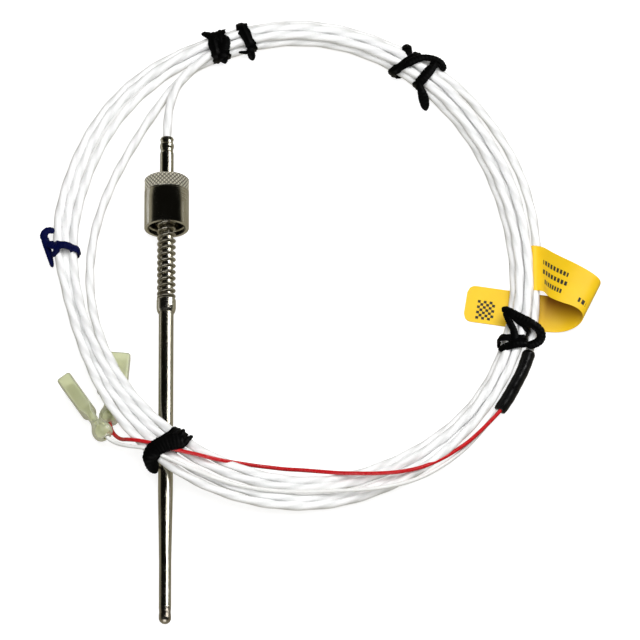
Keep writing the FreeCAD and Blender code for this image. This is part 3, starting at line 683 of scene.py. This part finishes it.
def stroke(stops, thick=0.95):
    """A soft-edged run of the coated ribbon through listed (x, y, z, width) points."""
    line, at = spaced(smooth_line("stroke", [Vector(s[:3]) for s in stops], 14), 0.24)
    sizes = smooth_line("stroke_width", [Vector((i, s[3], 0)) for i, s in enumerate(stops)], 14)
    share = np.linspace(0, len(sizes) - 1, len(line))
    width = np.interp(share, np.arange(len(sizes)), sizes[:, 1])
    tangent = np.gradient(line, axis=0)
    tangent /= np.linalg.norm(tangent, axis=1)[:, None]
    points = []
    for i in range(len(line)):
        ahead = Vector(tangent[i])
        across = ahead.cross(UP)
        across = across.normalized() if across.length > 0.2 else Vector((1, 0, 0))
        out = across.cross(ahead)
        end = min(at[i], at[-1] - at[i])
        rounding = math.sqrt(min(1.0, 0.04 + end / (0.45 * width[i])))
        uneven = 1 + 0.05 * math.sin(2.1 * i) + 0.05 * random.uniform(-1, 1)
        half = 0.5 * width[i] * rounding * uneven
        high = 0.5 * thick * rounding * (1 + 0.12 * math.sin(1.3 * i))
        for j in range(STROKE_SIDES):
            a = 2 * math.pi * j / STROKE_SIDES
            ridge = 1 + 0.16 * math.cos(4 * a) + 0.04 * random.uniform(-1, 1)
            points.append(Vector(line[i]) + across * (half * math.cos(a))
                          + out * (high * math.sin(a) * ridge))
    return points, grid_faces(len(line), STROKE_SIDES, capped=True)


ties = [
    build_tie(1, "tie_black", bands_at(341, [(-2.3, -0.9), (0.1, 1.3)], 3.6) + [
        stroke([(16.4, 119.4, 6.4, 3.6), (13.6, 121.5, 5.6, 3.0), (12.0, 122.5, 4.6, 2.2),
                (11.0, 123.2, 3.8, 1.4)]),
        stroke([(18.6, 121.6, 5.8, 3.2), (18.4, 118.6, 6.6, 3.8), (18.2, 115.2, 6.6, 4.0)]),
        stroke([(17.4, 114.8, 6.4, 3.9), (18.4, 113.0, 5.6, 3.2), (18.7, 112.0, 4.6, 2.2)])]),
    build_tie(2, "tie_black", bands_at(348, [(0.4, -1.0)], 3.4) + [
        stroke([(24.4, 121.0, 6.2, 3.4), (24.0, 124.1, 5.4, 3.9), (23.8, 126.0, 4.0, 3.7),
                (23.9, 127.3, 2.8, 3.0)]),
        stroke([(26.4, 116.8, 6.5, 2.9), (27.0, 114.9, 5.4, 2.6), (27.6, 113.4, 4.0, 2.2)]),
        stroke([(26.1, 115.4, 5.8, 1.5), (24.5, 115.6, 5.4, 1.3), (22.9, 116.0, 4.8, 0.7)], 0.7)]),
    build_tie(3, "tie_black", bands_at(30, [(-4.0, 0.3), (5.1, 6.4)], 3.0) + [
        stroke([(77.5, 113.7, 5.6, 2.3), (77.2, 116.1, 5.0, 3.1), (77.0, 118.2, 4.2, 3.3),
                (77.0, 119.4, 3.6, 2.8)]),
        stroke([(76.6, 110.4, 6.9, 2.6), (79.8, 112.6, 6.9, 2.7), (83.0, 113.6, 6.2, 2.4),
                (86.5, 113.1, 5.4, 2.4),
                (88.6, 111.7, 4.6, 2.5), (89.0, 109.6, 3.8, 2.3)]),
        stroke([(85.8, 110.9, 6.2, 2.8), (83.2, 107.2, 6.9, 3.5), (80.9, 104.1, 6.4, 3.5)]),
        stroke([(80.6, 104.6, 6.2, 2.6), (81.6, 102.2, 5.8, 1.9), (82.4, 99.8, 4.8, 3.6),
                (82.9, 97.4, 3.6, 3.0),
                (83.2, 96.0, 3.0, 1.4)])]),
    build_tie(4, "tie_black", bands_at(107, [(-5.4, -1.6), (4.4, 1.4)], 2.4) + [
        stroke([(107.3, 25.7, 5.6, 2.0), (109.2, 23.9, 6.6, 3.0), (112.4, 21.8, 7.0, 3.2),
                (116.2, 19.9, 6.8, 3.1),
                (119.2, 18.2, 5.6, 3.0), (120.0, 15.8, 4.6, 3.0), (118.3, 13.3, 4.8, 3.0),
                (114.9, 12.2, 5.6, 2.8)]),
        stroke([(108.1, 24.3, 6.0, 1.8), (109.5, 20.2, 6.6, 2.3), (111.4, 16.7, 6.6, 2.4),
                (111.1, 13.5, 6.6, 2.6)]),
        stroke([(115.6, 12.7, 5.8, 2.7), (112.7, 12.9, 6.8, 3.0), (109.5, 12.1, 6.4, 3.0),
                (106.9, 11.5, 5.2, 2.5),
                (106.0, 11.4, 4.4, 1.7)])]),
    build_tie(5, "tie_blue", [band(275, -1.6, 0.0, *LAST_TURNS, 2.2, 0.05)] + [
        stroke([(-39.3, 50.1, 3.2, 2.6), (-39.5, 52.0, 3.6, 2.6), (-38.4, 53.5, 3.8, 2.4),
                (-36.8, 53.7, 3.6, 2.2),
                (-35.5, 53.2, 3.2, 1.8)]),
        stroke([(-39.2, 51.7, 3.4, 2.7), (-38.4, 48.7, 3.2, 2.6), (-37.4, 45.2, 2.4, 1.9),
                (-36.5, 41.6, 1.4, 1.1)]),
        stroke([(-38.2, 49.6, 3.4, 2.6), (-35.8, 46.9, 5.2, 2.9), (-33.7, 47.3, 6.7, 2.6),
                (-31.5, 47.1, 6.6, 2.4),
                (-30.1, 46.5, 5.4, 2.2), (-29.6, 45.6, 3.4, 1.9)]),
        stroke([(-36.4, 44.3, 3.6, 1.6), (-35.5, 45.7, 5.2, 2.1), (-34.4, 46.6, 6.2, 2.2)])]),
    build_tie(6, "tie_black", [
        band(214, -1.6, 1.0, 4.9, 13.9, -0.6, 13.6, 3.4, 0.1),
        band(214, -0.2, 2.4, 4.9, 13.9, -0.5, 13.8, 3.4, 0.1),
        stroke([(-2.7, -33.6, 9.5, 3.2), (-4.5, -31.8, 11.6, 4.0), (-4.9, -29.2, 13.7, 5.0),
                (-3.0, -26.9, 14.5, 5.9),
                (0.5, -25.3, 14.6, 6.0), (4.3, -24.5, 14.5, 5.5), (7.5, -24.1, 13.4, 4.0)]),
        stroke([(4.3, -23.4, 14.5, 2.3), (5.6, -21.7, 14.3, 1.8), (5.8, -20.2, 13.9, 1.0)], 0.8),
        stroke([(5.6, -25.1, 14.3, 2.6), (7.7, -23.3, 13.6, 1.9), (8.6, -22.1, 12.8, 1.0)], 0.8)]),
]


# ---------------------------------------------------------------- materials

class Finish:
    """A principled material built up node by node from object coordinates, in metres."""

    def __init__(self, name, **values):
        self.material = bpy.data.materials.new(name)
        self.material.use_nodes = True
        self.tree = self.material.node_tree
        self.shader = self.tree.nodes["Principled BSDF"]
        for socket, value in values.items():
            self.shader.inputs[socket.replace("_", " ")].default_value = value
        self.place = self.node("ShaderNodeTexCoord").outputs["Object"]

    def node(self, kind, **values):
        made = self.tree.nodes.new(kind)
        for key, value in values.items():
            if hasattr(made, key):
                setattr(made, key, value)
            else:
                made.inputs[key.replace("_", " ")].default_value = value
        return made

    def link(self, source, target):
        self.tree.links.new(source, target)

    def noise(self, scale, stretch=(1, 1, 1), detail=4.0, rough=0.55):
        """Noise with features 1/scale metres across, drawn out along an axis by stretch."""
        mapping = self.node("ShaderNodeMapping")
        mapping.inputs["Scale"].default_value = [scale / s for s in stretch]
        self.link(self.place, mapping.inputs["Vector"])
        noise = self.node("ShaderNodeTexNoise", Scale=1.0, Detail=detail, Roughness=rough)
        self.link(mapping.outputs["Vector"], noise.inputs["Vector"])
        return noise.outputs["Fac"]

    def kept(self, name):
        return self.node("ShaderNodeAttribute", attribute_name=name).outputs["Fac"]

    def maths(self, operation, first, second=0.0, third=0.0):
        made = self.node("ShaderNodeMath", operation=operation)
        for socket, value in zip(made.inputs, (first, second, third)):
            if isinstance(value, (int, float)):
                socket.default_value = value
            else:
                self.link(value, socket)
        return made.outputs[0]

    def spread(self, source, low, high, source_low=0.3, source_high=0.7):
        """The source's usual range made into another range."""
        made = self.node("ShaderNodeMapRange")
        for socket, value in zip(("From Min", "From Max", "To Min", "To Max"),
                                 (source_low, source_high, low, high)):
            made.inputs[socket].default_value = value
        self.link(source, made.inputs["Value"])
        return made.outputs["Result"]

    def mixed(self, share, first, second):
        """A colour between two colours; each is a colour or another node's output."""
        made = self.node("ShaderNodeMix", data_type="RGBA")
        self.link(share, made.inputs[0])
        for socket, value in ((made.inputs[6], first), (made.inputs[7], second)):
            if isinstance(value, tuple):
                socket.default_value = value + (1.0,)
            else:
                self.link(value, socket)
        return made.outputs[2]

    def colour(self, source):
        self.link(source, self.shader.inputs["Base Color"])

    def roughness(self, source):
        self.link(source, self.shader.inputs["Roughness"])

    def bump(self, source, distance, strength=1.0, after=None):
        made = self.node("ShaderNodeBump", Strength=strength)
        made.inputs["Distance"].default_value = distance
        self.link(source, made.inputs["Height"])
        if after is not None:
            self.link(after, made.inputs["Normal"])
        self.link(made.outputs["Normal"], self.shader.inputs["Normal"])
        return made.outputs["Normal"]


def metal(name, bright, dark, rough, lines, depth=0.000004, **more):
    """Metal with drawn or turned lines, smudges that change its gloss, and faint tarnish."""
    made = Finish(name, Metallic=1.0, **more)
    smudge = made.noise(140, detail=5)
    tarnish = made.noise(420, (1, 3, 1), detail=6)
    grain = made.noise(9000, lines, detail=3)
    made.colour(made.mixed(made.spread(tarnish, 0, 1, 0.35, 0.72), bright, dark))
    made.roughness(made.maths("ADD", made.spread(smudge, rough[0], rough[1]),
                              made.spread(grain, -0.03, 0.05)))
    made.bump(grain, depth, 0.6)
    return made


DRAWN = (1, 60, 1)
TURNED = (40, 1, 40)
stainless = metal("stainless", (0.60, 0.575, 0.49), (0.44, 0.41, 0.32), (0.17, 0.27), DRAWN)
plate = metal("nickel_plate", (0.70, 0.68, 0.61), (0.56, 0.53, 0.44), (0.15, 0.25), TURNED)
spring_metal = metal("spring_steel", (0.58, 0.55, 0.47), (0.30, 0.27, 0.20), (0.2, 0.34), (6, 1, 6))
weld = metal("weld_metal", (0.62, 0.58, 0.50), (0.36, 0.31, 0.25), (0.22, 0.36), TURNED, 0.00001)
brass = metal("tinned_brass", (0.80, 0.77, 0.66), (0.60, 0.50, 0.30), (0.25, 0.38), DRAWN)
iron = metal("iron_wire", (0.50, 0.48, 0.46), (0.33, 0.28, 0.24), (0.3, 0.45), DRAWN)
constantan = metal("constantan_wire", (0.66, 0.60, 0.50), (0.45, 0.38, 0.28), (0.28, 0.4), DRAWN)

# the knurl is rough; its grooves are painted dark as shade and its crests painted pale as highlight
crest, cut = plate.kept("tone"), plate.kept("knurled")
base = plate.shader.inputs["Base Color"].links[0].from_socket
painted_knurl_shade_and_highlight = plate.mixed(plate.spread(crest, 0, 1, 0.05, 0.5), (0.07, 0.06, 0.04), (0.86, 0.82, 0.68))
plate.colour(plate.mixed(cut, base, painted_knurl_shade_and_highlight))
plate.link(plate.maths("SUBTRACT", 1.0, plate.maths("MULTIPLY", cut, 0.6)),
           plate.shader.inputs["Metallic"])
gloss = plate.shader.inputs["Roughness"].links[0].from_socket
plate.roughness(plate.maths("MAXIMUM", gloss, plate.maths("MULTIPLY", cut, 0.38)))

ceramic = Finish("oxide_ceramic", Roughness=0.6)
ceramic.colour(ceramic.mixed(ceramic.noise(900), (0.86, 0.84, 0.78), (0.74, 0.71, 0.64)))
ceramic.bump(ceramic.noise(6000), 0.00002)

resin = Finish("potting_resin", Roughness=0.35)
resin.colour(resin.mixed(resin.noise(1200), (0.10, 0.085, 0.06), (0.17, 0.14, 0.10)))
resin.roughness(resin.spread(resin.noise(900), 0.25, 0.5))
resin.bump(resin.noise(1500), 0.00004)

jacket = Finish("lead_jacket", Coat_Weight=0.35, Coat_Roughness=0.18, IOR=1.38)
lobe = jacket.kept("tone")
clean = jacket.mixed(jacket.noise(160, detail=5), (0.95, 0.953, 0.955), (0.90, 0.903, 0.90))
# the valleys between the two cores are painted grey as shade
painted_valley_shade = jacket.mixed(jacket.spread(lobe, 0.75, 0.0, 0.0, 0.65), clean, (0.74, 0.745, 0.74))
speck = jacket.spread(jacket.noise(2600, detail=2), 0, 0.35, 0.66, 0.74)
jacket.colour(jacket.mixed(speck, painted_valley_shade, (0.55, 0.53, 0.48)))
jacket.roughness(jacket.spread(jacket.noise(700, detail=5), 0.22, 0.42))
jacket.bump(jacket.noise(2600, detail=3), 0.00003, 0.5)

white_skin = Finish("white_insulation", Coat_Weight=0.4, Coat_Roughness=0.15, IOR=1.38)
white_skin.colour(white_skin.mixed(white_skin.noise(500), (0.90, 0.90, 0.89), (0.78, 0.78, 0.76)))
white_skin.roughness(white_skin.spread(white_skin.noise(900), 0.22, 0.4))
white_skin.bump(white_skin.noise(3000), 0.00002, 0.5)

red_skin = Finish("red_insulation", Coat_Weight=0.5, Coat_Roughness=0.12, IOR=1.4)
red_skin.colour(red_skin.mixed(red_skin.noise(600), (0.62, 0.012, 0.016), (0.42, 0.006, 0.010)))
red_skin.roughness(red_skin.spread(red_skin.noise(900), 0.2, 0.38))
red_skin.bump(red_skin.noise(3000), 0.00002, 0.5)

shrink = Finish("heat_shrink", Specular_IOR_Level=0.3, IOR=1.5)
shrink.colour(shrink.mixed(shrink.noise(300), (0.0015, 0.0015, 0.0015), (0.006, 0.006, 0.006)))
shrink.roughness(shrink.spread(shrink.noise(420, detail=5), 0.22, 0.38))
shrink.bump(shrink.noise(500, (1, 3, 1), detail=3), 0.00009, 0.5)

nylon = Finish("nylon", Transmission_Weight=0.55, IOR=1.5, Subsurface_Weight=0.35,
               Subsurface_Scale=0.002)
nylon.shader.inputs["Subsurface Radius"].default_value = (1.0, 1.0, 0.6)
nylon.colour(nylon.mixed(nylon.noise(260, detail=5), (0.66, 0.68, 0.44), (0.56, 0.59, 0.36)))
nylon.roughness(nylon.spread(nylon.noise(700), 0.28, 0.42))
nylon.bump(nylon.noise(2200, detail=3), 0.00003, 0.6)


def tie_finish(name, dark, light):
    made = Finish(name, Specular_IOR_Level=0.10, IOR=1.45)
    made.colour(made.mixed(made.noise(500, detail=5), dark, light))
    made.roughness(made.spread(made.noise(700, detail=5), 0.3, 0.55))
    made.bump(made.noise(1500, detail=5), 0.00012, 0.7)
    return made


tie_black = tie_finish("tie_black", (0.0005, 0.0005, 0.0005), (0.002, 0.002, 0.002))
tie_blue = tie_finish("tie_blue", (0.001, 0.002, 0.022), (0.002, 0.004, 0.050))


# ---- label: yellow vinyl, with plain bars and a chequered block in place of its printing

vinyl = Finish("label_vinyl", Coat_Weight=0.25, Coat_Roughness=0.3, IOR=1.5)
along, across = vinyl.kept("strip_along"), vinyl.kept("strip_across")


def within(value, low, high):
    return vinyl.maths("MULTIPLY", vinyl.maths("GREATER_THAN", value, low),
                       vinyl.maths("LESS_THAN", value, high))


def broken(value, step, offset, keep):
    """Dashes: true for keep of every step, from an offset."""
    return vinyl.maths("LESS_THAN", vinyl.maths("FRACT", vinyl.maths(
        "DIVIDE", vinyl.maths("ADD", value, offset), step)), keep)


def printed_bar(low, high, near, far, step, offset):
    box = vinyl.maths("MULTIPLY", within(along, low, high), within(across, near, far))
    return vinyl.maths("MULTIPLY", box, broken(along, step, offset, 0.66))


ink = printed_bar(54.5, 65.0, 3.6, 4.9, 1.3, 0.4)
for bar in ((54.0, 65.4, 6.3, 7.6, 1.45, 1.1), (55.0, 64.6, 9.0, 10.3, 1.2, 0.2),
            (45.2, 48.4, 9.2, 10.7, 1.7, 0.0)):
    ink = vinyl.maths("MAXIMUM", ink, printed_bar(*bar))
checks = vinyl.maths("GREATER_THAN", vinyl.maths(
    "MODULO", vinyl.maths("ADD", vinyl.maths("FLOOR", vinyl.maths("DIVIDE", along, 0.95)),
                          vinyl.maths("FLOOR", vinyl.maths("DIVIDE", across, 0.95))), 2.0), 0.5)
block = vinyl.maths("MULTIPLY", within(along, 3.8, 9.5), within(across, 4.75, 11.4))
ink = vinyl.maths("MAXIMUM", ink, vinyl.maths("MULTIPLY", block, checks))
outer_side = vinyl.maths("GREATER_THAN", along, 30.0)
seen = vinyl.maths("ABSOLUTE", vinyl.maths("SUBTRACT", vinyl.kept("printed_side"), outer_side))
ink = vinyl.maths("MULTIPLY", ink, seen)
ground = vinyl.mixed(vinyl.noise(170, detail=5), (0.90, 0.60, 0.012), (0.82, 0.50, 0.010))
# the inside of the curl is painted darker brown as the shade under the upper band of the fold
painted_curl_shade = vinyl.maths("MULTIPLY", vinyl.spread(along, 0, 1, 22, 26),
                     vinyl.spread(along, 1, 0, 40, 46))
painted_curl_shade = vinyl.maths("MULTIPLY", painted_curl_shade, vinyl.spread(across, 1, 0, 1, LABEL_WIDTH))
painted_curl_shade = vinyl.maths("MULTIPLY", painted_curl_shade, vinyl.kept("printed_side"))
ground = vinyl.mixed(painted_curl_shade, ground, (0.24, 0.085, 0.008))
vinyl.colour(vinyl.mixed(ink, ground, (0.03, 0.028, 0.025)))
vinyl.roughness(vinyl.spread(vinyl.noise(500, detail=5), 0.32, 0.52))
vinyl.bump(vinyl.noise(300, detail=4), 0.00010, 0.5)

LOOKS = {
    "tip_plug": weld, "front_sheath": stainless, "spring_collar": plate, "back_tube": stainless,
    "retaining_ring": spring_metal, "spring_washer": stainless, "junction_bead": weld,
    "potting_seal": resin, "wire_iron": iron, "wire_constantan": constantan,
    "receptacle_1": brass, "receptacle_2": brass, "crimp_1": brass, "crimp_2": brass,
    "main_lead": jacket, "heat_shrink": shrink, "wire_red": red_skin, "wire_white": white_skin,
    "cap_shell": plate, "spring_coil": spring_metal, "housing_1": nylon, "housing_2": nylon,
    "label_strip": vinyl, "tie_5": tie_blue}
LOOKS.update({"insulator_%d" % n: ceramic for n in range(1, 6)})
LOOKS.update({"tie_%d" % n: tie_black for n in (1, 2, 3, 4, 6)})
for name, look in LOOKS.items():
    materials = bpy.data.objects[name].data.materials
    materials.clear()
    materials.append(look.material)


# ---------------------------------------------------------------- stage and light

def stage_plane(name, size, height):
    mesh = bpy.data.meshes.new(name)
    half = size / 2
    mesh.from_pydata([(-half, -half, height), (half, -half, height), (half, half, height),
                      (-half, half, height)], [], [(0, 1, 2, 3)])
    plane = bpy.data.objects.new(name, mesh)
    SCENE.collection.objects.link(plane)
    return plane


floor = stage_plane("floor", 9.0, -0.0001)
paper = Finish("floor_paper", Roughness=0.9)
paper.colour(paper.mixed(paper.noise(3), (0.42, 0.42, 0.42), (0.40, 0.40, 0.405)))
paper.shader.inputs["Emission Color"].default_value = (1, 1, 1, 1)
paper.shader.inputs["Emission Strength"].default_value = 0.80
floor.data.materials.append(paper.material)
floor.visible_glossy = False
floor.visible_diffuse = False


LIT_POINT = Vector((0.045, 0.03, 0.0))


def area_light(name, place, size, power, glossy=True):
    data = bpy.data.lights.new(name, "AREA")
    data.shape = "RECTANGLE"
    data.size, data.size_y = size
    data.energy = power
    light = bpy.data.objects.new(name, data)
    light.location = place
    light.rotation_euler = (LIT_POINT - Vector(place)).to_track_quat("-Z", "Y").to_euler()
    light.visible_glossy = glossy
    SCENE.collection.objects.link(light)
    return light


area_light("overhead", (0.1, 0.2, 1.6), (1.6, 1.6), 30, glossy=False)
area_light("front_fill", (-0.2, -1.7, 0.75), (1.6, 0.9), 12)
# a bright line along the sheath; the cap is left out, and stays dark in front
strip = area_light("strip_right", (1.15, 0.70, 1.06), (0.24, 1.5), 9)
not_the_cap = bpy.data.collections.new("strip_light_receivers")
not_the_cap.objects.link(cap)
not_the_cap.collection_objects[0].light_linking.link_state = "EXCLUDE"
strip.light_linking.receiver_collection = not_the_cap

world = bpy.data.worlds.new("studio")
world.use_nodes = True
SCENE.world = world
tree = world.node_tree
background = tree.nodes["Background"]
direction = tree.nodes.new("ShaderNodeTexCoord")
split = tree.nodes.new("ShaderNodeSeparateXYZ")
ramp = tree.nodes.new("ShaderNodeValToRGB")
height = tree.nodes.new("ShaderNodeMapRange")
height.inputs["From Min"].default_value = -1.0
ramp.color_ramp.elements[0].position = 0.52
ramp.color_ramp.elements[0].color = (0.34, 0.32, 0.25, 1)
ramp.color_ramp.elements[1].position = 0.60
ramp.color_ramp.elements[1].color = (0.005, 0.0048, 0.004, 1)
tree.links.new(direction.outputs["Generated"], split.inputs[0])
tree.links.new(split.outputs["Z"], height.inputs["Value"])
tree.links.new(height.outputs["Result"], ramp.inputs["Fac"])
tree.links.new(ramp.outputs["Color"], background.inputs["Color"])
